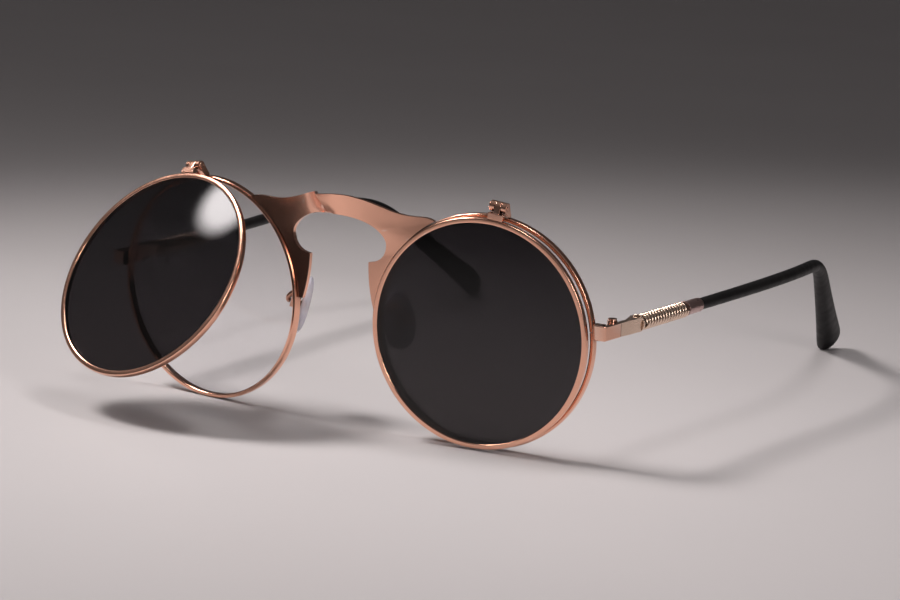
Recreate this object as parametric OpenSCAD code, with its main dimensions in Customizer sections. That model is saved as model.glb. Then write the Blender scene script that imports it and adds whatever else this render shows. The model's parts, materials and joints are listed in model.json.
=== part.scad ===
// Round flip-up sunglasses. A thin metal frame holds a clear lens in each rim. A dark lens in
// its own ring is hinged on top of each rim, and a bowed plate with a keyhole gap joins the rims.
// Each side arm has a coil spring dressed around its wire and a plastic sleeve over the ear.
//
// Lengths are millimetres. +X is the wearer's left, -Y the front, +Z up. The origin is on the
// surface that the glasses stand on, under the middle of the whole object. Every piece is drawn
// for the +X side and mirrored for the other.

/* [Rims and clear lenses] */
// Distance between the centres of the two rims
lens_spacing = 73.3; // [72:0.1:76]
// Outer radius of a rim
rim_r = 26; // [25.5:0.1:26.5]
// Radial thickness of a rim
rim_wall = 1; // [0.9:0.05:1.2]
// Front to back depth of a rim
rim_depth = 1.9; // [1.7:0.1:2.2]
// Turn of each eye outwards and back
wrap = 5.4; // [4:0.1:6]
// Forward lean of the rims' tops
tilt = 1.25; // [0.5:0.05:2]
// Radius of the lenses' curved faces
lens_curve = 350; // [250:10:500]
// Thickness of a clear lens
clear_t = 1.3; // [1.1:0.1:1.5]

/* [Flip lenses] */
// Outer radius of a flip ring
flip_r = 25.55; // [25.2:0.05:25.7]
// Radial thickness of a flip ring
flip_wall = 1.2; // [1.1:0.05:1.3]
// Front to back depth of a flip ring
flip_depth = 1.5; // [1.4:0.1:1.6]
// Distance of a flip ring's middle plane in front of the rim's
flip_ahead = 3.22; // [3.1:0.02:3.4]
// Thickness of a dark lens
dark_t = 1.1; // [1:0.1:1.2]
// How far the left flip lens is open
left_open = 0; // [0:1:60]
// How far the right flip lens is open
right_open = 35.4; // [0:0.1:60]

/* [Flip hinges] */
// Angle of the hinge outwards from the rim's top
hinge_turn = 7; // [0:1:10]
// Distance of the hinge axis from the rim's centre
hinge_r = 28.3; // [28.2:0.05:28.5]
// Distance of the hinge axis in front of the rim's middle plane
hinge_ahead = 2.1; // [2:0.02:2.2]
// Width of the whole hinge
hinge_w = 3.8; // [3.6:0.1:4.4]

/* [Bridge plate] */
// Thickness of the plate
plate_t = 1; // [0.8:0.1:1.1]
// Distance of the wings' front face in front of the rims' centres
plate_ahead = 2.75; // [2.6:0.05:2.9]
// Forward bow of the nose arch along its lower edge
bow_low = 4.9; // [2:0.1:6]
// Forward bow of the nose arch along its top edge
bow_top = 10.4; // [4:0.1:12]

/* [Side arms] */
// Outward turn of an arm from straight back
splay = 2.6; // [2:0.05:5]
// Rise of an arm's front half
rise = 0.4; // [0:0.1:1.5]
// Diameter of the coil spring
spring_d = 3.7; // [3.4:0.1:3.8]
// Diameter of the spring's wire
spring_wire = 1; // [0.8:0.1:1.1]
// Pitch of the spring
spring_pitch = 1.25; // [1.2:0.05:1.5]
// Diameter of the arm's core wire
core_d = 1.2; // [1:0.1:1.3]

/* [Nose pads] */
// Height of a pad
pad_h = 13.5; // [12:0.5:14.5]
// Width of a pad
pad_w = 8; // [7:0.5:8.5]
// Thickness of a pad
pad_t = 2; // [1.6:0.1:2.2]

/* [Hidden] */
$fn = 96;

LEFT = 1;
RIGHT = -1;
ROSE = "#cf947c";
CHAMPAGNE = "#c9ad88";
MAUVE = "#a07c76";
STEEL = "#b9b3ad";

// Clearance between metal faces that are soldered or screwed flat together
seat = 0.03;
// Radial clearance of a pin that turns in its knuckle
running = 0.03;

// The whole is shifted so that the origin lies under its middle
mid_y = 59.2;

// A rim's centre, high enough for its lowest edge to stand on z = 0
eye_centre = [lens_spacing / 2, 0, rim_r * cos(tilt) + rim_depth / 2 * sin(tilt)];
rim_inner_r = rim_r - rim_wall;
flip_inner_r = flip_r - flip_wall;
groove_depth = 0.5;

// Side arm: hinge point on the arm's line, then distances along the arm from it
arm_hinge = [65.1, 7.2, 29.35];
pin_inset = 1.3;
barrel_r = 1.15;
knuckle_half = 0.5;
barrel_half = 1.65;
bar_half_h = 1.6;
bar_outer = 1;
bar_inner = -0.1;
wedge_end = 8.2;
collar_end = 9.6;
spring_start = 9.7;
spring_end = 29.3;
ferrule_start = 29.4;
ferrule_end = 35.9;
arm_dir = [sin(splay) * cos(rise), cos(splay) * cos(rise), sin(rise)];
spring_mean_r = (spring_d - spring_wire) / 2;

// Sleeve: where the wire leaves the ferrule, where it bends behind the ear, and its tip
sleeve_start = arm_hinge + (ferrule_end + 0.06) * arm_dir;
ear_bend = [65.3, 114.2, 29.4];
arm_tip = [54.4, 149.9, 3.3];
bend_reach = 9.1;
after_ferrule = [1.3, 22, 0.2];
before_bend = [-4.3, 22, -1.2];

// Rim lock beside the hinge
lock_x = [62.3, 64.3];
lock_y = [1.47, 3.5];
lock_half_h = 1.55;
lock_slit = 0.1;
lock_pin = [63.5, 2.5];

// Nose pad: centre of the pad, turn to face the nose, and lean of its top inwards
pad_centre = [12.1, 3.6, 24.5];
pad_turn = -31;
pad_lean = -13;
pad_pin_x = 2.8;

// ---------------------------------------------------------------- shared shapes

// Draws a piece on the left side, or mirrored on the right
module on_side(side) {
    translate([0, -mid_y, 0])
        mirror([side < 0 ? 1 : 0, 0, 0])
            children();
}

// Rim frame: origin at the rim's centre, +Y along the lens axis to the rear
module eye() {
    translate(eye_centre)
        rotate([tilt, 0, wrap])
            children();
}

// Turns a shape's +Z to the front, along the lens axis
module face_front() {
    rotate([90, 0, 0])
        children();
}

// Hinge frame: origin on the flip hinge's axis, +X along it
module flip_axis() {
    eye()
        rotate([0, hinge_turn, 0])
            translate([0, -hinge_ahead, hinge_r])
                children();
}

// The moving side of the flip hinge, opened forwards and up
module flipped(open) {
    flip_axis()
        rotate([-open, 0, 0])
            children();
}

// Flip ring frame, seen from the hinge axis, with +Z to the front
module in_flip_ring() {
    translate([0, hinge_ahead - flip_ahead, -hinge_r])
        face_front()
            children();
}

// Arm frame: origin at the hinge line, +Y back along the arm
module arm() {
    translate(arm_hinge)
        rotate([rise, 0, -splay])
            children();
}

// Cylinder along +Y from one distance to another
module rod_y(r, from, to) {
    translate([0, from, 0])
        rotate([-90, 0, 0])
            cylinder(r = r, h = to - from);
}

// Cylinder along +X from one distance to another
module rod_x(r, from, to) {
    translate([from, 0, 0])
        rotate([0, 90, 0])
            cylinder(r = r, h = to - from);
}

// Box between two corners
module block(low, high) {
    translate(low)
        cube(high - low);
}

// Flat outline in the Y-Z plane, given thickness along X
module plate_x(from, to) {
    translate([from, 0, 0])
        rotate([90, 0, 90])
            linear_extrude(to - from)
                children();
}

// Solid through a list of rings that all have the same number of points
module loft(rings) {
    n = len(rings[0]);
    last = len(rings) - 1;
    points = [for (ring = rings) for (p = ring) p];
    sides = [
        for (i = [0 : last - 1])
            for (j = [0 : n - 1])
                let (a = i * n + j, b = i * n + (j + 1) % n)
                    each [[a, a + n, b], [b, a + n, b + n]]
    ];
    start = [for (j = [0 : n - 1]) j];
    end = [for (j = [n - 1 : -1 : 0]) last * n + j];
    polyhedron(points, concat([start], sides, [end]));
}

function unit(v) = v / norm(v);
function mix(a, b, t) = a + (b - a) * t;
function smooth(t) = let (u = min(max(t, 0), 1)) u * u * (3 - 2 * u);
function bezier2(a, b, c, t) = mix(mix(a, b, t), mix(b, c, t), t);
function bezier3(a, b, c, d, t) = mix(bezier2(a, b, c, t), bezier2(b, c, d, t), t);

// Direction of a path at one of its points
function along(path, i) = unit(path[min(i + 1, len(path) - 1)] - path[max(i - 1, 0)]);

// Oval ring across a path's point: tall is its half height, wide its half width, twist its turn
function path_ring(path, i, tall, wide, sides, twist = 0) =
    let (
        t = along(path, i),
        level = unit(cross(t, [0, 0, 1])),
        side = cos(twist) * level - sin(twist) * cross(level, t),
        up = cross(side, t)
    )
    [for (j = [0 : sides - 1]) let (a = 360 * j / sides) path[i] + wide * cos(a) * side + tall * sin(a) * up];

// Round wire along a path, with a radius for each point or one for all
module wire(path, r, sides) {
    loft([for (i = [0 : len(path) - 1])
        let (here = is_list(r) ? r[i] : r)
        path_ring(path, i, here, here, sides)
    ]);
}

// Section of a grooved metal ring, in radius and depth
module ring_section(outer, wall, depth, groove) {
    edge = 0.25;
    inner = outer - wall;
    half = depth / 2;
    difference() {
        polygon([
            [inner, -half], [outer - edge, -half], [outer, edge - half],
            [outer, half - edge], [outer - edge, half], [inner, half]
        ]);
        translate([0, -groove / 2])
            square([inner + groove_depth, groove]);
    }
}

// Lens with two spherical faces and a thin tongue round its edge
module lens(opening_r, thick, tongue) {
    body_r = opening_r - 0.05;
    mean = lens_curve - thick / 2;
    centre_z = -sqrt(mean * mean - opening_r * opening_r);
    tongue_r = opening_r + groove_depth - 0.05;
    intersection() {
        cylinder(r = body_r, h = 10, center = true);
        difference() {
            translate([0, 0, centre_z])
                sphere(r = lens_curve, $fn = 360);
            translate([0, 0, centre_z])
                sphere(r = lens_curve - thick, $fn = 360);
        }
    }
    difference() {
        cylinder(r = tongue_r, h = tongue, center = true);
        cylinder(r = body_r - 0.5, h = 2 * tongue, center = true);
    }
}

clear_tongue = 0.7;
dark_tongue = 0.6;

// ---------------------------------------------------------------- rims and their locks

module rim(side) {
    color(ROSE)
        on_side(side)
            difference() {
                eye()
                    face_front()
                        rotate_extrude()
                            ring_section(rim_r, rim_wall, rim_depth, clear_tongue + 0.04);
                block([lock_x[0] - 2, -1, arm_hinge[2] - lock_slit],
                      [lock_x[1], 6, arm_hinge[2] + lock_slit]);
            }
}

module clear_lens(side) {
    color("#dfe3ea", 0.3)
        on_side(side)
            eye()
                face_front()
                    lens(rim_inner_r, clear_t, clear_tongue);
}

// One half of the lock, between two heights, with a hole for the screw
module lock_half(low, high, hole_r) {
    difference() {
        block([lock_x[0] - 1, lock_y[0], low], [lock_x[1], lock_y[1], high]);
        eye()
            face_front()
                cylinder(r = rim_r + seat, h = 20, center = true);
        translate([lock_pin[0], lock_pin[1], low - 1])
            cylinder(r = hole_r, h = high - low + 2);
    }
}

module lock_upper(side) {
    color(ROSE)
        on_side(side)
            lock_half(arm_hinge[2] + lock_slit, arm_hinge[2] + lock_half_h, 0.5 + running);
}

module lock_lower(side) {
    color(ROSE)
        on_side(side)
            lock_half(arm_hinge[2] - lock_half_h, arm_hinge[2] - lock_slit, 0.5 + running);
}

module lock_screw(side) {
    low = arm_hinge[2] - lock_half_h;
    color(STEEL)
        on_side(side)
            translate([lock_pin[0], lock_pin[1], low])
                difference() {
                    union() {
                        cylinder(r = 0.5, h = 2 * lock_half_h);
                        translate([0, 0, -0.4])
                            cylinder(r = 0.75, h = 0.38);
                        translate([0, 0, -0.1])
                            cylinder(r = 0.5, h = 0.2);
                    }
                    translate([-1, -0.12, -0.6])
                        cube([2, 0.24, 0.38]);
                }
}

// ---------------------------------------------------------------- bridge plate

// Point of the plate's plane on a circle about the rim's axis, where 180 is the nose side
function round_rim(angle, r) =
    let (
        ex = [cos(wrap), sin(wrap), 0],
        ez = [sin(wrap) * sin(tilt), -cos(wrap) * sin(tilt), cos(tilt)],
        ey = [-sin(wrap) * cos(tilt), cos(wrap) * cos(tilt), sin(tilt)],
        p = eye_centre + r * (cos(angle) * ex + sin(angle) * ez),
        reach = (plate_t / 2 - plate_ahead - p[1]) / ey[1],
        q = p + reach * ey
    )
    [q[0], q[2]];

plate_r = rim_r + 0.1;
leg_angle = 176.7;
notch_low_angle = 152.8;
notch_high_angle = 137.7;
wing_angle = 118.3;
wing_tip = round_rim(wing_angle, rim_r + 0.9);

// Inner outline: straight-ish leg, corner, round notch, then the arch over the nose
leg_low = 27.5;
notch_corner = [7.8, 37.9];
notch_out = [12.35, 42.2];
arch_x = 4.9;
function leg_inner(t) = let (z = mix(leg_low, notch_corner[1], t)) [notch_corner[0] + 0.0154 * pow(notch_corner[1] - z, 2), z];
function arch_inner(x) = [x, 48.5 - 0.026 * x * x];
function notch_lower(t) = bezier3(notch_corner, [9.9, 38.1], [12.3, 39], notch_out, t);
function notch_upper(t) = bezier3(notch_out, [12.4, 44.4], [9.1, 46.83], arch_inner(arch_x), t);

// Top outline: nearly level wing, then a raised hump over the nose
hump_x = 18;
function top_edge(x) = [x, x < hump_x ? 51.4 + 2 * cos(180 * x / hump_x) : 49.4 + 0.05 * (x - hump_x)];

// Pairs of inner and outer points from the leg's foot to the middle
leg_steps = 6;
lower_steps = 6;
upper_steps = 14;
arch_steps = 8;
half_plate = concat(
    [for (i = [0 : leg_steps - 1]) let (t = i / leg_steps)
        [leg_inner(t), round_rim(mix(leg_angle, notch_low_angle, t), plate_r)]],
    [for (i = [0 : lower_steps - 1]) let (t = i / lower_steps)
        [notch_lower(t), round_rim(mix(notch_low_angle, notch_high_angle, t), plate_r)]],
    [for (i = [0 : upper_steps / 2]) let (t = i / upper_steps)
        [notch_upper(t), round_rim(mix(notch_high_angle, wing_angle, 2 * t), plate_r)]],
    [for (i = [upper_steps / 2 + 1 : upper_steps]) let (t = i / upper_steps)
        [notch_upper(t - 0.02), top_edge(mix(wing_tip[0], 6, 2 * t - 1 - 1 / upper_steps))]],
    [for (i = [0 : arch_steps]) let (t = i / arch_steps)
        [arch_inner(mix(arch_x - 0.4, 0, t)), top_edge(mix(4.7, 0, t))]]
);
full_plate = concat(
    half_plate,
    [for (i = [len(half_plate) - 2 : -1 : 0]) [for (p = half_plate[i]) [-p[0], p[1]]]]
);

// Forward bow at a point, where across runs from 0 on the lower edge to 1 on the top edge
function bow(p, across) =
    let (
        x = abs(p[0]),
        low = bow_low * exp(-pow(x / 7, 1.6)),
        top = bow_top * exp(-pow(x / 5.1, 1.15))
    )
    mix(low, top, across) * smooth((p[1] - 40) / 6);

module bridge_plate() {
    across = 5;
    row = across + 1;
    last = len(full_plate) - 1;
    count = len(full_plate) * row;
    flat = [for (pair = full_plate) for (j = [0 : across])
        [mix(pair[0], pair[1], j / across), j / across]];
    front = [for (q = flat) [q[0][0], -plate_ahead - bow(q[0], q[1]), q[0][1]]];
    rear = [for (p = front) p + [0, plate_t, 0]];
    grid = [for (i = [0 : last - 1]) for (j = [0 : across - 1]) i * row + j];
    front_faces = [for (a = grid) each [[a, a + 1, a + row], [a + 1, a + row + 1, a + row]]];
    rear_faces = [for (f = front_faces) [f[2] + count, f[1] + count, f[0] + count]];
    lower_wall = [for (i = [0 : last - 1]) let (a = i * row)
        each [[a, a + row, a + count], [a + row, a + row + count, a + count]]];
    upper_wall = [for (i = [0 : last - 1]) let (a = i * row + across)
        each [[a, a + count, a + row], [a + row, a + count, a + row + count]]];
    foot = [for (j = [0 : across - 1]) each [[j, j + count, j + 1], [j + 1, j + count, j + 1 + count]]];
    far_foot = [for (j = [0 : across - 1]) let (a = last * row + j)
        each [[a, a + 1, a + count], [a + 1, a + 1 + count, a + count]]];
    color(ROSE)
        translate([0, -mid_y, 0])
            polyhedron(concat(front, rear),
                       concat(front_faces, rear_faces, lower_wall, upper_wall, foot, far_foot));
}

// ---------------------------------------------------------------- flip hinge and flip lens

knuckle_r = 1.2;
flip_pin_r = 0.45;
tab_half = 0.7;
hinge_half = hinge_w / 2;

// One ear of the base: a round knuckle and a foot that flares back onto the rim
module ear_outline() {
    rear = hinge_ahead + rim_depth / 2;
    front = hinge_ahead - rim_depth / 2 + 0.1;
    circle(r = knuckle_r);
    polygon([[0, -knuckle_r], [front, -2.7], [rear - 0.6, -2.7], [rear - 0.5, -2.1], [1.15, 0.3]]);
}

module flip_base(side) {
    rear = hinge_ahead + rim_depth / 2;
    color(ROSE)
        on_side(side)
            flip_axis()
                difference() {
                    union() {
                        plate_x(-hinge_half, -tab_half - 0.1)
                            ear_outline();
                        plate_x(tab_half + 0.1, hinge_half)
                            ear_outline();
                        block([-hinge_half, 1.3, -2.7], [hinge_half, rear - 0.6, -1.6]);
                    }
                    translate([0, hinge_ahead, -hinge_r])
                        face_front()
                            cylinder(r = rim_r + seat, h = 20, center = true);
                    rod_x(flip_pin_r + running, -5, 5);
                }
}

module flip_screw(side) {
    head = 0.3;
    color(STEEL)
        on_side(side)
            flip_axis()
                difference() {
                    union() {
                        rod_x(flip_pin_r, -hinge_half - 0.1, hinge_half + 0.1);
                        rod_x(0.85, -hinge_half - seat - head, -hinge_half - seat);
                    }
                    block([-hinge_half - 0.5, -1, -0.11], [-hinge_half - head + 0.1, 1, 0.11]);
                }
}

module flip_tab(side, open) {
    front = hinge_ahead - flip_ahead - flip_depth / 2;
    back = front + flip_depth;
    color(ROSE)
        on_side(side)
            flipped(open)
                difference() {
                    union() {
                        block([-1.8, front, -3.3], [1.8, back, -1.3]);
                        plate_x(-tab_half, tab_half) {
                            circle(r = knuckle_r);
                            polygon([[-1.19, 0.1], [front + 0.3, -1.4], [back, -1.9], [0.2, -1.18]]);
                        }
                    }
                    in_flip_ring()
                        cylinder(r = flip_r + seat, h = 20, center = true);
                    rod_x(flip_pin_r + running, -5, 5);
                }
}

module flip_ring(side, open) {
    color(ROSE)
        on_side(side)
            flipped(open)
                in_flip_ring()
                    rotate_extrude()
                        ring_section(flip_r, flip_wall, flip_depth, dark_tongue + 0.04);
}

module dark_lens(side, open) {
    color("#232126", 0.85)
        on_side(side)
            flipped(open)
                in_flip_ring()
                    lens(flip_inner_r, dark_t, dark_tongue);
}

// ---------------------------------------------------------------- side arm hinge

// Places a shape on the arm hinge's upright axis
module on_arm_pin() {
    translate([-pin_inset, 0, 0])
        children();
}

module end_piece(side) {
    corner = 0.3;
    front_y = 0.45;
    leg_t = 0.95;
    foot_x = 62.65;
    lean = tan(splay);
    outer_front = arm_hinge[0] + bar_outer - (arm_hinge[1] - front_y) * lean;
    inner_front = arm_hinge[0] + bar_inner - (arm_hinge[1] - front_y - leg_t) * lean;
    end_y = arm_hinge[1] - 0.06;
    color(ROSE)
        on_side(side)
            translate([0, 0, arm_hinge[2] - bar_half_h])
                linear_extrude(2 * bar_half_h)
                    polygon([
                        [foot_x, front_y],
                        [outer_front - corner, front_y],
                        [outer_front, front_y + corner],
                        [arm_hinge[0] + bar_outer, end_y],
                        [arm_hinge[0] + bar_inner, end_y],
                        [inner_front, front_y + leg_t],
                        [foot_x, front_y + leg_t]
                    ]);
}

// Hinge knuckle between two heights, with its web to the leaf's plate
module arm_knuckle(low, high, web_y) {
    on_arm_pin()
        translate([0, 0, low])
            cylinder(r = barrel_r, h = high - low);
    block([-pin_inset + 0.1, min(0, web_y), low], [bar_inner - seat, max(0, web_y), high]);
}

module temple_front_leaf(side) {
    gap = 0.05;
    color(ROSE)
        on_side(side)
            arm()
                difference() {
                    union() {
                        arm_knuckle(-barrel_half, -knuckle_half - gap, -1.6);
                        arm_knuckle(knuckle_half + gap, barrel_half, -1.6);
                        block([bar_inner - 0.5, -3.4, -1.5], [bar_inner - seat, -1.4, 1.5]);
                    }
                    on_arm_pin()
                        cylinder(r = 0.55 + running, h = 10, center = true);
                }
}

module temple_screw(side) {
    color(STEEL)
        on_side(side)
            arm()
                on_arm_pin()
                    difference() {
                        union() {
                            cylinder(r = 0.55, h = 2 * barrel_half + 0.2, center = true);
                            translate([0, 0, barrel_half + seat])
                                cylinder(r = 1, h = 0.5);
                        }
                        translate([-2, -0.15, barrel_half + 0.3])
                            cube([4, 0.3, 1]);
                    }
}

module temple_rear_leaf(side) {
    color(ROSE)
        on_side(side)
            arm()
                difference() {
                    union() {
                        arm_knuckle(-knuckle_half, knuckle_half, 1.6);
                        block([bar_inner - 0.5, 1.4, -1.4], [bar_inner - seat, 3.5, 1.4]);
                    }
                    on_arm_pin()
                        cylinder(r = 0.55 + running, h = 10, center = true);
                }
}

// ---------------------------------------------------------------- side arm

core_r = core_d / 2;

// Four corners of the wedge block across the arm
function wedge_ring(y, inner, low_outer, top_outer, half_h) = [
    [inner, y, -half_h], [low_outer, y, -half_h], [top_outer, y, half_h], [inner, y, half_h]
];

module wedge_block(side) {
    color(CHAMPAGNE)
        on_side(side)
            arm()
                difference() {
                    loft([
                        wedge_ring(0.08, bar_inner, bar_outer, bar_outer, 1.52),
                        wedge_ring(3.7, bar_inner, 1.15, 1.25, 1.6),
                        wedge_ring(wedge_end, -1.5, 1.3, 1.6, 1.6)
                    ]);
                    rod_y(core_r + 0.01, 5, 10);
                }
}

// Wire path from the ferrule over the ear to the tip
bend_in = ear_bend - bend_reach * unit(before_bend);
bend_out = ear_bend + bend_reach * unit(arm_tip - ear_bend);
ear_path = concat(
    [for (i = [0 : 9])
        bezier3(sleeve_start, sleeve_start + after_ferrule, bend_in - before_bend, bend_in, i / 10)],
    [for (i = [0 : 6]) bezier2(bend_in, ear_bend, bend_out, i / 6)],
    [for (i = [1 : 8]) mix(bend_out, arm_tip, i / 8)]
);

module core_wire(side) {
    front = [for (y = [5.1, ferrule_start, ferrule_end - 1]) arm_hinge + y * arm_dir];
    color(STEEL)
        on_side(side)
            wire(concat(front, [for (i = [0 : len(ear_path) - 3]) ear_path[i]]), core_r, 12);
}

module collar(side) {
    color(CHAMPAGNE)
        on_side(side)
            arm()
                difference() {
                    union() {
                        rod_y(spring_d / 2 + 0.15, wedge_end + seat, wedge_end + 0.55);
                        rod_y(spring_d / 2 - 0.25, wedge_end + 0.5, collar_end);
                    }
                    rod_y(core_r + 0.01, 0, 20);
                }
}

// Coil spring round the core wire
module spring(side) {
    steps = 14;
    sides = 6;
    length = spring_end - spring_start - spring_wire;
    count = round(length / spring_pitch * steps);
    color(CHAMPAGNE)
        on_side(side)
            arm()
                loft([for (i = [0 : count])
                    let (
                        a = 360 * i / steps,
                        out = [cos(a), 0, sin(a)],
                        centre = spring_mean_r * out + [0, spring_start + spring_wire / 2 + length * i / count, 0]
                    )
                    [for (j = [0 : sides - 1]) let (b = 360 * j / sides)
                        centre + spring_wire / 2 * (cos(b) * out - sin(b) * [0, 1, 0])]
                ]);
}

module ferrule(side) {
    ferrule_r = 1.6;
    color(MAUVE)
        on_side(side)
            arm()
                difference() {
                    union() {
                        rod_y(ferrule_r, ferrule_start, ferrule_end);
                        rod_y(ferrule_r + 0.12, ferrule_start, ferrule_start + 0.5);
                    }
                    rod_y(core_r + 0.01, 0, 50);
                }
}

// Black sleeve: round at the ferrule, deeper at the ear, then a paddle flared in the bend's plane
module tip_sleeve(side) {
    sides = 16;
    last = len(ear_path) - 1;
    start_r = 1.38;
    bend_r = 1.57;
    bend_start = 10;
    tip_tall = 4.2;
    tip_wide = 2.45;
    paddle_twist = 30;
    cap_rings = 5;
    cap_len = 2;
    tip_dir = unit(arm_tip - ear_bend);
    capped = concat(ear_path,
                    [for (i = [1 : cap_rings]) arm_tip + cap_len * sin(90 * i / cap_rings) * tip_dir]);
    color("#1c1b1d")
        on_side(side)
            loft([for (i = [0 : len(capped) - 1])
                let (
                    leg = min(max((i - bend_start) / (last - bend_start), 0), 1),
                    flare = pow(leg, 1.8),
                    even = mix(start_r, bend_r, min(i / bend_start, 1)),
                    shrink = i <= last ? 1 : max(cos(90 * (i - last) / cap_rings), 0.3),
                    tall = mix(even, tip_tall, flare) * shrink,
                    wide = mix(even, tip_wide, flare) * shrink
                )
                path_ring(capped, i, tall, wide, sides, paddle_twist * smooth(2 * leg))
            ]);
}

// ---------------------------------------------------------------- nose pads

// Pad frame: origin at the pad's middle, -X to the nose, +Z up the pad
module pad_frame() {
    translate(pad_centre)
        rotate([0, pad_lean, pad_turn])
            children();
}

tongue_half = 0.6;
pad_pin_r = 0.4;
box_half_y = 1.2;
box_half_z = 1.1;
box_back = pad_pin_x + 1.3;

// Oval of two arcs, wider at the bottom, in a plane across X
module pad_oval(w, h) {
    low_r = w / 2;
    top_r = 0.8 * low_r;
    rise_low = low_r - h / 2;
    rise_top = h / 2 - top_r;
    translate([0, rise_low])
        circle(r = low_r);
    translate([0, rise_top])
        circle(r = top_r);
    polygon([[-low_r, rise_low], [low_r, rise_low], [top_r, rise_top], [-top_r, rise_top]]);
}

// Metal plate in the pad, its stem and the eye that the cross screw goes through
module insert_shape(grow) {
    plate_x(0.1 - grow, 0.5 + grow)
        pad_oval(3.2 + 2 * grow, 6.5 + 2 * grow);
    block([0.3, -0.5 - grow, -0.6 - grow], [pad_pin_x, 0.5 + grow, 0.6 + grow]);
}

module nose_pad(side) {
    bulge = 24;
    color("#e6e4ee", 0.5)
        on_side(side)
            pad_frame()
                difference() {
                    intersection() {
                        plate_x(-pad_t / 2, pad_t / 2)
                            pad_oval(pad_w, pad_h);
                        translate([bulge - pad_t / 2, 0, 0])
                            sphere(r = bulge, $fn = 300);
                    }
                    insert_shape(0.01);
                }
}

module pad_insert(side) {
    color(ROSE)
        on_side(side)
            pad_frame()
                difference() {
                    union() {
                        insert_shape(0);
                        translate([pad_pin_x, 0, 0])
                            rotate([90, 0, 0])
                                cylinder(r = 0.8, h = 2 * tongue_half, center = true);
                    }
                    translate([pad_pin_x, 0, 0])
                        rotate([90, 0, 0])
                            cylinder(r = pad_pin_r + running, h = 5, center = true);
                }
}

module pad_box(side) {
    open_half = tongue_half + 0.1;
    color(ROSE)
        on_side(side)
            pad_frame()
                difference() {
                    block([pad_pin_x - 0.9, -box_half_y, -box_half_z], [box_back, box_half_y, box_half_z]);
                    block([pad_pin_x - 2, -open_half, -2], [box_back - 0.4, open_half, 2]);
                    translate([pad_pin_x, 0, 0])
                        rotate([90, 0, 0])
                            cylinder(r = pad_pin_r + running, h = 5, center = true);
                }
}

module pad_screw(side) {
    color(STEEL)
        on_side(side)
            pad_frame()
                translate([pad_pin_x, 0, 0]) {
                    rod_y(pad_pin_r, -box_half_y - 0.1, box_half_y + 0.1);
                    rod_y(0.7, -box_half_y - seat - 0.3, -box_half_y - seat);
                }
}

// Bent wire from the rear of the rim out behind the lens and back to the pad's box
module pad_arm(side) {
    root = [11.6, -0.95, 27.4];
    out = [cos(pad_turn) * cos(pad_lean), sin(pad_turn) * cos(pad_lean), -sin(pad_lean)];
    box_end = pad_centre + (box_back + 2 * seat) * out;
    steps = 12;
    wire_r = 0.62;
    foot_flare = 0.18;
    path = [for (i = [0 : steps])
        bezier3(root, root + [0.6, 2.6, 2.4], box_end + 2.4 * out, box_end, i / steps)];
    color(ROSE)
        on_side(side)
            wire(path, [for (i = [0 : steps]) wire_r + foot_flare * max(1 - i / 2, 0)], 10);
}

// ---------------------------------------------------------------- pieces to draw

bridge_plate();

rim(LEFT);  // left_rim
clear_lens(LEFT);  // left_clear_lens
lock_upper(LEFT);  // left_lock_upper
lock_lower(LEFT);  // left_lock_lower
lock_screw(LEFT);  // left_lock_screw
end_piece(LEFT);  // left_end_piece
temple_front_leaf(LEFT);  // left_temple_front_leaf
temple_screw(LEFT);  // left_temple_screw
flip_base(LEFT);  // left_flip_base
flip_screw(LEFT);  // left_flip_screw
flip_ring(LEFT, left_open);  // left_flip_ring
dark_lens(LEFT, left_open);  // left_dark_lens
flip_tab(LEFT, left_open);  // left_flip_tab
temple_rear_leaf(LEFT);  // left_temple_rear_leaf
wedge_block(LEFT);  // left_wedge_block
core_wire(LEFT);  // left_core_wire
collar(LEFT);  // left_collar
spring(LEFT);  // left_spring
ferrule(LEFT);  // left_ferrule
tip_sleeve(LEFT);  // left_tip_sleeve
pad_arm(LEFT);  // left_pad_arm
pad_box(LEFT);  // left_pad_box
pad_screw(LEFT);  // left_pad_screw
pad_insert(LEFT);  // left_pad_insert
nose_pad(LEFT);  // left_nose_pad

rim(RIGHT);  // right_rim
clear_lens(RIGHT);  // right_clear_lens
lock_upper(RIGHT);  // right_lock_upper
lock_lower(RIGHT);  // right_lock_lower
lock_screw(RIGHT);  // right_lock_screw
end_piece(RIGHT);  // right_end_piece
temple_front_leaf(RIGHT);  // right_temple_front_leaf
temple_screw(RIGHT);  // right_temple_screw
flip_base(RIGHT);  // right_flip_base
flip_screw(RIGHT);  // right_flip_screw
flip_ring(RIGHT, right_open);  // right_flip_ring
dark_lens(RIGHT, right_open);  // right_dark_lens
flip_tab(RIGHT, right_open);  // right_flip_tab
temple_rear_leaf(RIGHT);  // right_temple_rear_leaf
wedge_block(RIGHT);  // right_wedge_block
core_wire(RIGHT);  // right_core_wire
collar(RIGHT);  // right_collar
spring(RIGHT);  // right_spring
ferrule(RIGHT);  // right_ferrule
tip_sleeve(RIGHT);  // right_tip_sleeve
pad_arm(RIGHT);  // right_pad_arm
pad_box(RIGHT);  // right_pad_box
pad_screw(RIGHT);  // right_pad_screw
pad_insert(RIGHT);  // right_pad_insert
nose_pad(RIGHT);  // right_nose_pad
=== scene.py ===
"""Round flip-up sunglasses on a pale studio floor.

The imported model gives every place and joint. Small metal pieces are its own meshes with their edges
broken by a bevel, and wires, sleeves and the bridge are its meshes subdivided. Rings, lenses, springs
and nose pads are built here with rounder sections. Lengths are metres: +X is the wearer's left, -Y the
front.
"""

import json
import math

import bmesh
import bpy
from mathutils import Matrix, Vector

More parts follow.
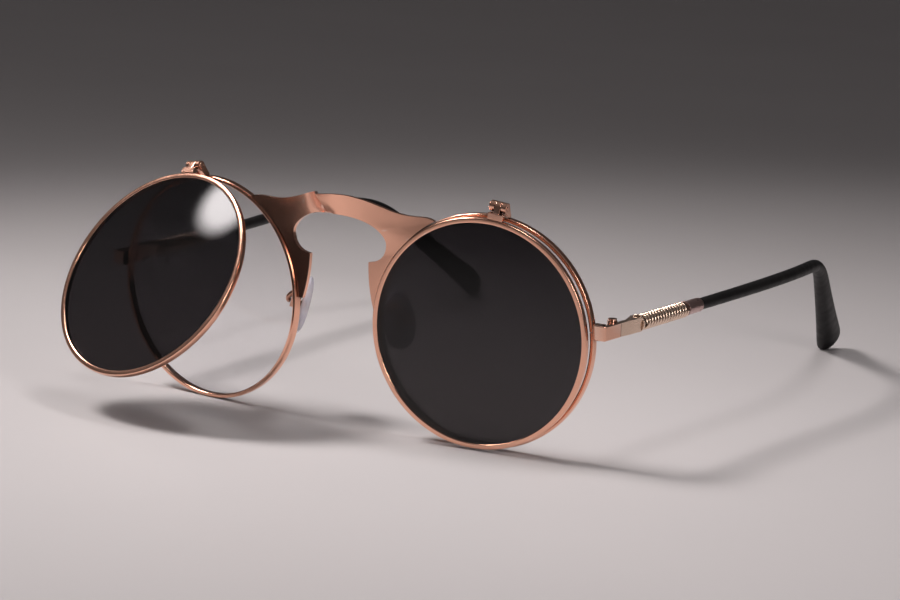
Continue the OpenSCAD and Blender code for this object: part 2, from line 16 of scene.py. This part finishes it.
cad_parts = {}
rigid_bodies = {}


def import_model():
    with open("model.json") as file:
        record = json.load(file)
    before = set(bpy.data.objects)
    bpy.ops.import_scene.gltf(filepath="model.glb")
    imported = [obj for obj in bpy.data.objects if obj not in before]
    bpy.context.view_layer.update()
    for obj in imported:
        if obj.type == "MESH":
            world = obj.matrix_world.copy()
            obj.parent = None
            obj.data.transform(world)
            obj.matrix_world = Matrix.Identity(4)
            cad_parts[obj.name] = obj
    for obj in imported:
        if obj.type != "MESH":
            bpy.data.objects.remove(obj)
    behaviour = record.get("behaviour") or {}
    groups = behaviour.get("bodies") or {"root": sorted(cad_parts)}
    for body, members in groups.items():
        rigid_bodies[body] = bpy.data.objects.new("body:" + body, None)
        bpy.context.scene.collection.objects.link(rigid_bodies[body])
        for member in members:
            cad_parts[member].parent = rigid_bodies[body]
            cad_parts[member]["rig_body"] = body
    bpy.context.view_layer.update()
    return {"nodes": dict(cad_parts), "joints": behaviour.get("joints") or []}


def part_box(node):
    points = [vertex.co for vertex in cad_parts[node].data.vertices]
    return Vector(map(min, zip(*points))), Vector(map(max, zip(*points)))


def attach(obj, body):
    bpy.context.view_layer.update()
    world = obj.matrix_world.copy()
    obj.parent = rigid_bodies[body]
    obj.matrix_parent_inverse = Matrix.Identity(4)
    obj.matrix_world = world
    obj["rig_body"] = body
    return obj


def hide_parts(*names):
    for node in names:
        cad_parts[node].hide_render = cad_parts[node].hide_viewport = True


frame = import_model()
NODES = frame["nodes"]
JOINTS = {joint["name"]: joint for joint in frame["joints"]}

MM = 0.001
SIDES = {"left": 1, "right": -1}

# Turn of each eye outwards and forward lean of its top
WRAP = math.radians(5.4)
TILT = math.radians(1.25)

# Rings: outer radius, radial wall and depth
RIM = (26 * MM, 1.0 * MM, 1.9 * MM)
FLIP = (25.55 * MM, 1.2 * MM, 1.5 * MM)
LOCK_GAP = 0.2 * MM
LENS_CURVE = 350 * MM
CLEAR_T = 1.3 * MM
DARK_T = 1.1 * MM
GLASS_IOR = 1.42

# Nose pad: height, width, thickness, turn to the nose and lean of its top
PAD_SIZE = (13.4 * MM, 7.9 * MM, 1.9 * MM)
PAD_TURN = math.radians(-31)
PAD_LEAN = math.radians(-13)

# Spring round an arm: diameters, pitch and length between the middles of its end coils
SPRING_D = 3.7 * MM
SPRING_WIRE = 0.74 * MM
SPRING_PITCH = 1.25 * MM
SPRING_LENGTH = 18.6 * MM

# An arm's outward turn and rise
SPLAY = math.radians(2.6)
RISE = math.radians(0.4)


# ---------------------------------------------------------------- materials


class Shader:
    """A material's node tree, with its Principled shader and short calls for adding nodes."""

    def __init__(self, name, **uniform):
        self.material = bpy.data.materials.new(name)
        self.material.use_nodes = True
        self.nodes = self.material.node_tree.nodes
        self.links = self.material.node_tree.links
        self.main = self.nodes["Principled BSDF"]
        for socket, value in uniform.items():
            self.main.inputs[socket.replace("_", " ").title().replace("Ior", "IOR")].default_value = value
        self.place = self.nodes.new("ShaderNodeTexCoord").outputs["Object"]

    def add(self, kind, inputs=None, **settings):
        node = self.nodes.new("ShaderNode" + kind)
        for name, value in settings.items():
            setattr(node, name, value)
        for name, value in (inputs or {}).items():
            if isinstance(value, bpy.types.NodeSocket):
                self.links.new(value, node.inputs[name])
            else:
                node.inputs[name].default_value = value
        return node

    def noise(self, scale, detail=3, stretch=(1, 1, 1)):
        """Noise value, with its grain stretched along some axes."""
        placed = self.add("Mapping", {"Vector": self.place, "Scale": stretch}).outputs[0]
        return self.add("TexNoise", {"Vector": placed, "Scale": scale, "Detail": detail}).outputs["Fac"]

    def remap(self, value, low, high, start=0.3, end=0.7):
        """The value's middle range spread from low to high."""
        limits = {"Value": value, "From Min": start, "From Max": end, "To Min": low, "To Max": high}
        return self.add("MapRange", limits).outputs[0]

    def blend(self, factor, first, second):
        """Colour that goes from first to second."""
        mix = self.add("Mix", data_type="RGBA")
        for name, value in (("Factor", factor), ("A", first), ("B", second)):
            socket = [s for s in mix.inputs if s.name == name and s.enabled][-1]
            if isinstance(value, bpy.types.NodeSocket):
                self.links.new(value, socket)
            else:
                socket.default_value = value
        return [s for s in mix.outputs if s.enabled][-1]

    def drive(self, socket, value):
        self.links.new(value, self.main.inputs[socket])

    def bump(self, height, strength, distance):
        bump = self.add("Bump", {"Height": height, "Strength": strength, "Distance": distance})
        self.links.new(bump.outputs[0], self.main.inputs["Normal"])


def colour(red, green, blue):
    return (red, green, blue, 1)


def darker(tone, share):
    return colour(*(share * c for c in tone[:3]))


def plated_metal(name, base, worn, smooth, rough):
    """Polished plating: clouded colour, hairline scratches, paler worn edges and painted shade darkening
    its corners and the gaps between parts.
    """
    shader = Shader(name, metallic=1.0)
    cloud = shader.remap(shader.noise(260, 4), 0, 1)
    tone = shader.blend(cloud, base, darker(base, 0.93))
    edge = shader.add("NewGeometry").outputs["Pointiness"]
    tone = shader.blend(shader.remap(edge, 0, 0.6, 0.53, 0.62), tone, worn)
    # Painted shade: an occlusion mask darkens the colour in corners, crevices and the gaps between parts,
    # such as between spring coils.
    painted_shade_openness = shader.add("AmbientOcclusion", {"Distance": 1.2 * MM}, samples=4).outputs["AO"]
    tone = shader.blend(shader.remap(painted_shade_openness, 0, 1, 0.25, 0.85), darker(base, 0.12), tone)
    shader.drive("Base Color", tone)
    hairline = shader.noise(2400, 2, (1, 0.06, 1))
    smudge = shader.noise(120, 3)
    gloss = {0: shader.remap(smudge, smooth, rough), 1: shader.remap(hairline, 0, 0.06)}
    shader.drive("Roughness", shader.add("Math", gloss, operation="ADD").outputs[0])
    shader.bump(hairline, 0.05, 0.00002)
    return shader.material


def satin_plastic(name):
    """Black satin sleeve: fine moulded grain, handling marks and a soft sheen."""
    shader = Shader(name, ior=1.5, specular_ior_level=0.22)
    mottle = shader.remap(shader.noise(180, 4), 0, 1)
    tone = shader.blend(mottle, colour(0.004, 0.0035, 0.004), colour(0.009, 0.008, 0.008))
    shader.drive("Base Color", tone)
    shader.drive("Roughness", shader.remap(shader.noise(420, 4), 0.42, 0.56))
    shader.bump(shader.noise(5200, 2), 0.08, 0.00002)
    return shader.material


def clear_silicone(name):
    """Glossy clear silicone, faintly lilac, with cloudy streaks inside."""
    shader = Shader(name, roughness=0.05, ior=1.46, transmission_weight=0.45)
    cloud = shader.remap(shader.noise(420, 4, (1, 1, 0.4)), 0, 1)
    shader.drive("Base Color", shader.blend(cloud, colour(0.78, 0.76, 0.88), colour(0.96, 0.95, 1.0)))
    shader.bump(shader.noise(900, 2), 0.05, 0.00005)
    return shader.material


def coated_lens(name, low_tint, high_tint, heights, smear):
    """Thin glass that lets the tint through and mirrors by its angle, with faint wiping smears."""
    shader = Shader(name)
    height = shader.add("SeparateXYZ", {"Vector": shader.place}).outputs["Z"]
    climb = shader.remap(height, 0, 1, *heights)
    tint = shader.blend(climb, low_tint, high_tint)
    see_through = shader.add("BsdfTransparent", {"Color": tint})
    wiped = shader.noise(60, 5, (1, 1, 0.35))
    mirror = shader.add("BsdfGlossy", {"Roughness": shader.remap(wiped, 0.015, smear)})
    inside = shader.add("NewGeometry").outputs["Backfacing"]
    index = {"Value": inside, "To Min": GLASS_IOR, "To Max": 1 / GLASS_IOR}
    share = shader.add("Fresnel", {"IOR": shader.add("MapRange", index).outputs[0]}).outputs[0]
    mix = shader.add("MixShader", {0: share, 1: see_through.outputs[0], 2: mirror.outputs[0]})
    shader.links.new(mix.outputs[0], shader.nodes["Material Output"].inputs["Surface"])
    shader.nodes.remove(shader.main)
    return shader.material


ROSE = plated_metal("rose_gold", colour(0.95, 0.52, 0.37), colour(0.99, 0.74, 0.62), 0.10, 0.17)
CHAMPAGNE = plated_metal("champagne_gold", colour(0.88, 0.66, 0.52), colour(0.96, 0.82, 0.70), 0.16, 0.25)
MAUVE = plated_metal("mauve_plating", colour(0.62, 0.42, 0.39), colour(0.78, 0.58, 0.52), 0.24, 0.34)
STEEL = plated_metal("screw_steel", colour(0.62, 0.57, 0.54), colour(0.80, 0.77, 0.74), 0.18, 0.28)
BLACK = satin_plastic("black_sleeve")
SILICONE = clear_silicone("clear_silicone")
CLEAR_GLASS = coated_lens("clear_glass", colour(0.975, 0.975, 0.98), colour(0.985, 0.985, 0.99),
                          heights=(0, 0.052), smear=0.04)
DARK_GLASS = coated_lens("dark_glass", colour(0.19, 0.178, 0.182), colour(0.18, 0.172, 0.18),
                         heights=(0.01, 0.04), smear=0.06)


# ---------------------------------------------------------------- mesh building


def new_piece(name, points, faces, material, node, crisp=35):
    """Mesh piece that rides on a node's body and stands for that node."""
    mesh = bpy.data.meshes.new(name)
    mesh.from_pydata([tuple(p) for p in points], [], faces)
    shape = bmesh.new()
    shape.from_mesh(mesh)
    bmesh.ops.remove_doubles(shape, verts=shape.verts, dist=1e-7)
    bmesh.ops.recalc_face_normals(shape, faces=shape.faces)
    shape.to_mesh(mesh)
    shape.free()
    return finish_piece(bpy.data.objects.new(name, mesh), material, node, crisp)


def finish_piece(piece, material, node, crisp):
    piece.data.materials.clear()
    piece.data.materials.append(material)
    piece.data.shade_smooth()
    piece.data.set_sharp_from_angle(angle=math.radians(crisp))
    bpy.context.scene.collection.objects.link(piece)
    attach(piece, NODES[node]["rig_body"])
    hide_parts(node)
    return piece


def lathe(section, place, closed, start=0.0, turn=math.tau, steps=288):
    """Points and faces of a section of (radius, depth) turned about the place's Y axis."""
    full = turn > math.tau - 1e-6
    stations = steps if full else steps + 1
    points = []
    for i in range(stations):
        angle = start + turn * i / steps
        for radius, depth in section:
            points.append(place @ Vector((radius * math.cos(angle), depth, radius * math.sin(angle))))
    count = len(section)
    faces = []
    for i in range(steps):
        near, far = i * count, ((i + 1) % stations) * count
        for j in range(count if closed else count - 1):
            k = (j + 1) % count
            faces.append((near + j, near + k, far + k, far + j))
    if not full:
        faces.append(tuple(range(count - 1, -1, -1)))
        faces.append(tuple(range(steps * count, steps * count + count)))
    return points, faces


def soft_rectangle(outer, wall, depth, power=5.0, count=44):
    """Rounded section of a ring's metal, as (radius, depth) pairs."""
    section = []
    for i in range(count):
        angle = math.tau * i / count
        c, s = math.cos(angle), math.sin(angle)
        across = math.copysign(abs(c) ** (2 / power), c)
        along = math.copysign(abs(s) ** (2 / power), s)
        section.append((outer - wall / 2 + wall / 2 * across, depth / 2 * along))
    return section


def lens_section(opening, thick, count=20):
    """Domed section of a lens, from the middle of its front to the middle of its back."""
    middle = LENS_CURVE - thick / 2
    centre = -math.sqrt(middle**2 - opening**2)
    edge = opening + 0.15 * MM
    radii = [edge * math.sin(math.pi / 2 * i / count) for i in range(count + 1)]
    front = [(r, -(math.sqrt(LENS_CURVE**2 - r * r) + centre)) for r in radii]
    back = [(r, -(math.sqrt((LENS_CURVE - thick) ** 2 - r * r) + centre)) for r in reversed(radii)]
    return front + back


def cleaned(node):
    """Mesh copy of a CAD node with its doubled points merged."""
    shape = bmesh.new()
    shape.from_mesh(NODES[node].data)
    bmesh.ops.remove_doubles(shape, verts=shape.verts, dist=2e-6)
    return shape


def softened(node, material, width, segments=3):
    """A CAD node's shape with its edges broken by a small round."""
    shape = cleaned(node)
    bmesh.ops.dissolve_limit(shape, angle_limit=math.radians(1), verts=shape.verts, edges=shape.edges)
    mesh = bpy.data.meshes.new(node + "_soft")
    shape.to_mesh(mesh)
    shape.free()
    piece = finish_piece(bpy.data.objects.new(node + "_soft", mesh), material, node, 40)
    bevel = piece.modifiers.new("broken_edges", "BEVEL")
    bevel.width = width
    bevel.segments = segments
    bevel.limit_method = "ANGLE"
    bevel.angle_limit = math.radians(32)
    bevel.harden_normals = True
    return piece


def smoothed(node, material, levels, edge_width=0.0):
    """A CAD node's faceted loft as a smooth surface, with its hard edges kept by a narrow round."""
    shape = cleaned(node)
    bmesh.ops.join_triangles(shape, faces=shape.faces, angle_face_threshold=math.radians(50),
                             angle_shape_threshold=math.radians(180))
    mesh = bpy.data.meshes.new(node + "_smooth")
    shape.to_mesh(mesh)
    shape.free()
    piece = finish_piece(bpy.data.objects.new(node + "_smooth", mesh), material, node, 180)
    if edge_width:
        bevel = piece.modifiers.new("broken_edges", "BEVEL")
        bevel.width = edge_width
        bevel.segments = 2
        bevel.limit_method = "ANGLE"
        bevel.angle_limit = math.radians(55)
    subdivision = piece.modifiers.new("smooth", "SUBSURF")
    subdivision.levels = levels
    subdivision.render_levels = levels
    return piece


# ---------------------------------------------------------------- rings and lenses


def middle_of(node):
    low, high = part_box(node)
    return (low + high) / 2


def eye_turn(side):
    """Turn of an eye's lens axis, which is +Y to the rear."""
    return Matrix.Rotation(side * WRAP, 4, "Z") @ Matrix.Rotation(TILT, 4, "X")


def flip_turn(name, side):
    """Turn of a flip lens as it is stored, opened about its hinge by how far it can close again."""
    joint = JOINTS[name + "_flip_hinge"]
    opened = math.radians(-joint["range_deg"][0])
    return Matrix.Rotation(opened, 4, Vector(joint["axis"])) @ eye_turn(side)


def ring(node, size, turn, gap_height=None):
    """Metal ring with a rounded section, open by a hair where its lock is."""
    outer, wall, depth = size
    place = Matrix.Translation(middle_of(node)) @ turn
    section = soft_rectangle(outer, wall, depth)
    if gap_height is None:
        points, faces = lathe(section, place, True)
    else:
        side = 1 if node.startswith("left") else -1
        lock_angle = math.asin((gap_height - middle_of(node).z) / outer)
        lock_angle = lock_angle if side > 0 else math.pi - lock_angle
        half_gap = LOCK_GAP / 2 / outer
        points, faces = lathe(section, place, True, lock_angle + half_gap, math.tau - 2 * half_gap)
    new_piece(node + "_round", points, faces, ROSE, node, 60)


def lens(node, ring_node, size, thick, turn, material):
    outer, wall, depth = size
    place = Matrix.Translation(middle_of(ring_node)) @ turn
    points, faces = lathe(lens_section(outer - wall, thick), place, False, steps=144)
    new_piece(node + "_domed", points, faces, material, node, 60)


def eye(name, side):
    """Rim, clear lens, flip ring and dark lens of one side."""
    lock_height = middle_of(name + "_lock_screw").z
    ring(name + "_rim", RIM, eye_turn(side), lock_height)
    lens(name + "_clear_lens", name + "_rim", RIM, CLEAR_T, eye_turn(side), CLEAR_GLASS)
    opened = flip_turn(name, side)
    ring(name + "_flip_ring", FLIP, opened)
    lens(name + "_dark_lens", name + "_flip_ring", FLIP, DARK_T, opened, DARK_GLASS)


# ---------------------------------------------------------------- nose pads


def nose_pad(name, side):
    """Clear pad: an oval, wider below, domed to the nose and rounded at its edge."""
    height, width, thick = PAD_SIZE
    node = name + "_nose_pad"
    turn = Matrix.Rotation(side * PAD_TURN, 4, "Z") @ Matrix.Rotation(side * PAD_LEAN, 4, "Y")
    place = Matrix.Translation(middle_of(node)) @ turn
    around, rings = 48, 12
    points = []
    for i in range(2 * rings + 1):
        swing = math.pi * i / (2 * rings)
        reach = math.sin(swing) ** 0.55
        across = math.copysign(abs(math.cos(swing)) ** 0.8, math.cos(swing)) * thick / 2
        for j in range(around):
            angle = math.tau * j / around
            taper = 1 - 0.11 * math.sin(angle)
            y = width / 2 * math.cos(angle) * taper * reach
            z = height / 2 * math.sin(angle) * reach
            cup = side * 0.06 * (y * y + 0.3 * z * z) / thick
            points.append(place @ Vector((-side * across + cup, y, z)))
    faces = []
    for i in range(2 * rings):
        for j in range(around):
            k = (j + 1) % around
            faces.append((i * around + j, i * around + k, (i + 1) * around + k, (i + 1) * around + j))
    new_piece(node + "_domed", points, faces, SILICONE, node, 180)


# ---------------------------------------------------------------- springs


def spring(name, side):
    """Coil of round wire along the arm, in the place of the CAD spring."""
    node = name + "_spring"
    flat = Vector((side * math.sin(SPLAY), math.cos(SPLAY), 0))
    along = math.cos(RISE) * flat + Vector((0, 0, math.sin(RISE)))
    level = Vector((flat.y, -flat.x, 0))
    upright = level.cross(along)
    mean_r, wire_r = (SPRING_D - SPRING_WIRE) / 2, SPRING_WIRE / 2
    turns = round(SPRING_LENGTH / SPRING_PITCH)
    around, sides = 32, 12
    points = []
    for i in range(turns * around + 1):
        angle = math.tau * i / around
        out = math.cos(angle) * level + math.sin(angle) * upright
        reach = SPRING_LENGTH * (i / (turns * around) - 0.5)
        centre = middle_of(node) + mean_r * out + reach * along
        for j in range(sides):
            swing = math.tau * j / sides
            points.append(centre + wire_r * (math.cos(swing) * out + math.sin(swing) * along))
    faces = []
    for i in range(turns * around):
        for j in range(sides):
            k = (j + 1) % sides
            near, far = i * sides, (i + 1) * sides
            faces.append((near + j, near + k, far + k, far + j))
    faces.append(tuple(range(sides - 1, -1, -1)))
    faces.append(tuple(range(turns * around * sides, turns * around * sides + sides)))
    new_piece(node + "_coil", points, faces, CHAMPAGNE, node, 60)


# ---------------------------------------------------------------- the whole object


def arm_and_hinges(name):
    """Small metal pieces, wires and sleeve of one side."""
    for part, width in (("end_piece", 0.16), ("temple_front_leaf", 0.08), ("temple_rear_leaf", 0.08),
                        ("lock_upper", 0.08), ("lock_lower", 0.08), ("flip_base", 0.14),
                        ("flip_tab", 0.16), ("pad_box", 0.1), ("pad_insert", 0.06),
                        ("temple_screw", 0.12), ("flip_screw", 0.07)):
        softened(f"{name}_{part}", ROSE, width * MM)
    softened(name + "_lock_screw", STEEL, 0.07 * MM)
    softened(name + "_pad_screw", STEEL, 0.08 * MM)
    softened(name + "_wedge_block", CHAMPAGNE, 0.14 * MM)
    softened(name + "_collar", CHAMPAGNE, 0.14 * MM)
    softened(name + "_ferrule", MAUVE, 0.1 * MM)
    smoothed(name + "_core_wire", STEEL, 1)
    smoothed(name + "_pad_arm", ROSE, 2)
    smoothed(name + "_tip_sleeve", BLACK, 2, 0.25 * MM)


for name, side in SIDES.items():
    eye(name, side)
    nose_pad(name, side)
    spring(name, side)
    arm_and_hinges(name)
smoothed("bridge_plate", ROSE, 2, 0.14 * MM)


# ---------------------------------------------------------------- floor, light and camera


def studio_floor():
    """Wide pale floor with a faint paper grain, curving up far behind."""
    shader = Shader("floor_paper", roughness=0.55)
    cloud = shader.remap(shader.noise(7, 4), 0, 1)
    shader.drive("Base Color", shader.blend(cloud, colour(0.52, 0.49, 0.49), colour(0.54, 0.51, 0.51)))
    shader.bump(shader.noise(900, 3), 0.03, 0.0001)
    half_width, near_edge, curve_start, curve_r, wall_top, steps = 4, -2.5, 1.2, 0.8, 2.6, 12
    profile = [(near_edge, 0.0), (curve_start, 0.0)]
    for i in range(1, steps + 1):
        angle = math.pi / 2 * i / steps
        profile.append((curve_start + curve_r * math.sin(angle), curve_r * (1 - math.cos(angle))))
    profile.append((curve_start + curve_r, wall_top))
    points = [(x, y, z) for x in (-half_width, half_width) for y, z in profile]
    count = len(profile)
    faces = [(i, i + count, i + count + 1, i + 1) for i in range(count - 1)]
    mesh = bpy.data.meshes.new("floor")
    mesh.from_pydata(points, [], faces)
    mesh.shade_smooth()
    mesh.materials.append(shader.material)
    floor = bpy.data.objects.new("floor", mesh)
    floor.rotation_euler.z = CAMERA_AZIMUTH
    bpy.context.scene.collection.objects.link(floor)


def softbox(name, direction, distance, size, power, tone, spread=180):
    """Rectangular light that faces the glasses, fades to its edges and has a spread in degrees."""
    data = bpy.data.lights.new(name, "AREA")
    data.shape = "RECTANGLE"
    data.size, data.size_y = size
    data.energy = power
    data.color = tone
    data.spread = math.radians(spread)
    data.use_nodes = True
    nodes, links = data.node_tree.nodes, data.node_tree.links
    spot = nodes.new("ShaderNodeNewGeometry").outputs["Parametric"]
    offset = nodes.new("ShaderNodeVectorMath")
    offset.operation = "DISTANCE"
    offset.inputs[1].default_value = (0.5, 0.5, 0)
    fade = nodes.new("ShaderNodeMapRange")
    fade.interpolation_type = "SMOOTHSTEP"
    fade.inputs["From Min"].default_value = 0.2
    fade.inputs["From Max"].default_value = 0.5
    fade.inputs["To Min"].default_value = 2.0
    fade.inputs["To Max"].default_value = 0.0
    links.new(spot, offset.inputs[0])
    links.new(offset.outputs["Value"], fade.inputs["Value"])
    links.new(fade.outputs[0], nodes["Emission"].inputs["Strength"])
    light = bpy.data.objects.new(name, data)
    toward = Vector(direction).normalized()
    light.location = AIM + distance * toward
    light.rotation_euler = toward.to_track_quat("Z", "Y").to_euler()
    bpy.context.scene.collection.objects.link(light)


CAMERA_AZIMUTH = math.radians(30.78)
CAMERA_RISE = math.radians(11.13)
CAMERA_ROLL = math.radians(2.36)
CAMERA_DISTANCE = 0.58107
CAMERA_LENS = 106.606

# Point that the camera looks at, from the middle of the two rims
rims_middle = (middle_of("left_rim") + middle_of("right_rim")) / 2
AIM = rims_middle + Vector((28.1 * MM, -0.98 * MM, 5.88 * MM))


def camera():
    a, e, r = CAMERA_AZIMUTH, CAMERA_RISE, CAMERA_ROLL
    back = Vector((math.sin(a) * math.cos(e), -math.cos(a) * math.cos(e), math.sin(e)))
    level = Vector((math.cos(a), math.sin(a), 0))
    upright = back.cross(level)
    right = math.cos(r) * level + math.sin(r) * upright
    up = math.cos(r) * upright - math.sin(r) * level
    data = bpy.data.cameras.new("camera")
    data.sensor_width = 36
    data.lens = CAMERA_LENS
    data.clip_start = 0.01
    placed = bpy.data.objects.new("camera", data)
    spin = Matrix((right, up, back)).transposed().to_4x4()
    placed.matrix_world = Matrix.Translation(AIM + CAMERA_DISTANCE * back) @ spin
    bpy.context.scene.collection.objects.link(placed)
    bpy.context.scene.camera = placed


def studio_air():
    """Dim grey surroundings, brighter overhead."""
    world = bpy.data.worlds.new("studio")
    world.use_nodes = True
    nodes, links = world.node_tree.nodes, world.node_tree.links
    place = nodes.new("ShaderNodeTexCoord")
    split = nodes.new("ShaderNodeSeparateXYZ")
    ramp = nodes.new("ShaderNodeMapRange")
    ramp.inputs["From Min"].default_value = 0.0
    ramp.inputs["From Max"].default_value = 1.0
    ramp.inputs["To Min"].default_value = 0.045
    ramp.inputs["To Max"].default_value = 0.15
    links.new(place.outputs["Generated"], split.inputs[0])
    links.new(split.outputs["Z"], ramp.inputs["Value"])
    links.new(ramp.outputs[0], nodes["Background"].inputs["Strength"])
    nodes["Background"].inputs["Color"].default_value = (1.0, 0.96, 0.97, 1)
    bpy.context.scene.world = world


studio_floor()
softbox("key", (-0.6, -0.1, 0.79), 0.62, (0.24, 0.24), 0.85, (1.0, 0.96, 0.95), 75)
softbox("glare", (-0.743, -0.253, 0.619), 0.65, (0.085, 0.085), 0.25, (1.0, 0.94, 0.94))
softbox("overhead", (0.1, 0.2, 1.0), 0.6, (0.3, 0.14), 0.3, (1.0, 0.97, 0.97), 90)
softbox("right_fill", (1.0, -0.55, 0.45), 0.8, (0.2, 0.5), 0.3, (1.0, 0.94, 0.93), 60)
camera()
studio_air()
bpy.context.scene.view_settings.view_transform = "Standard"
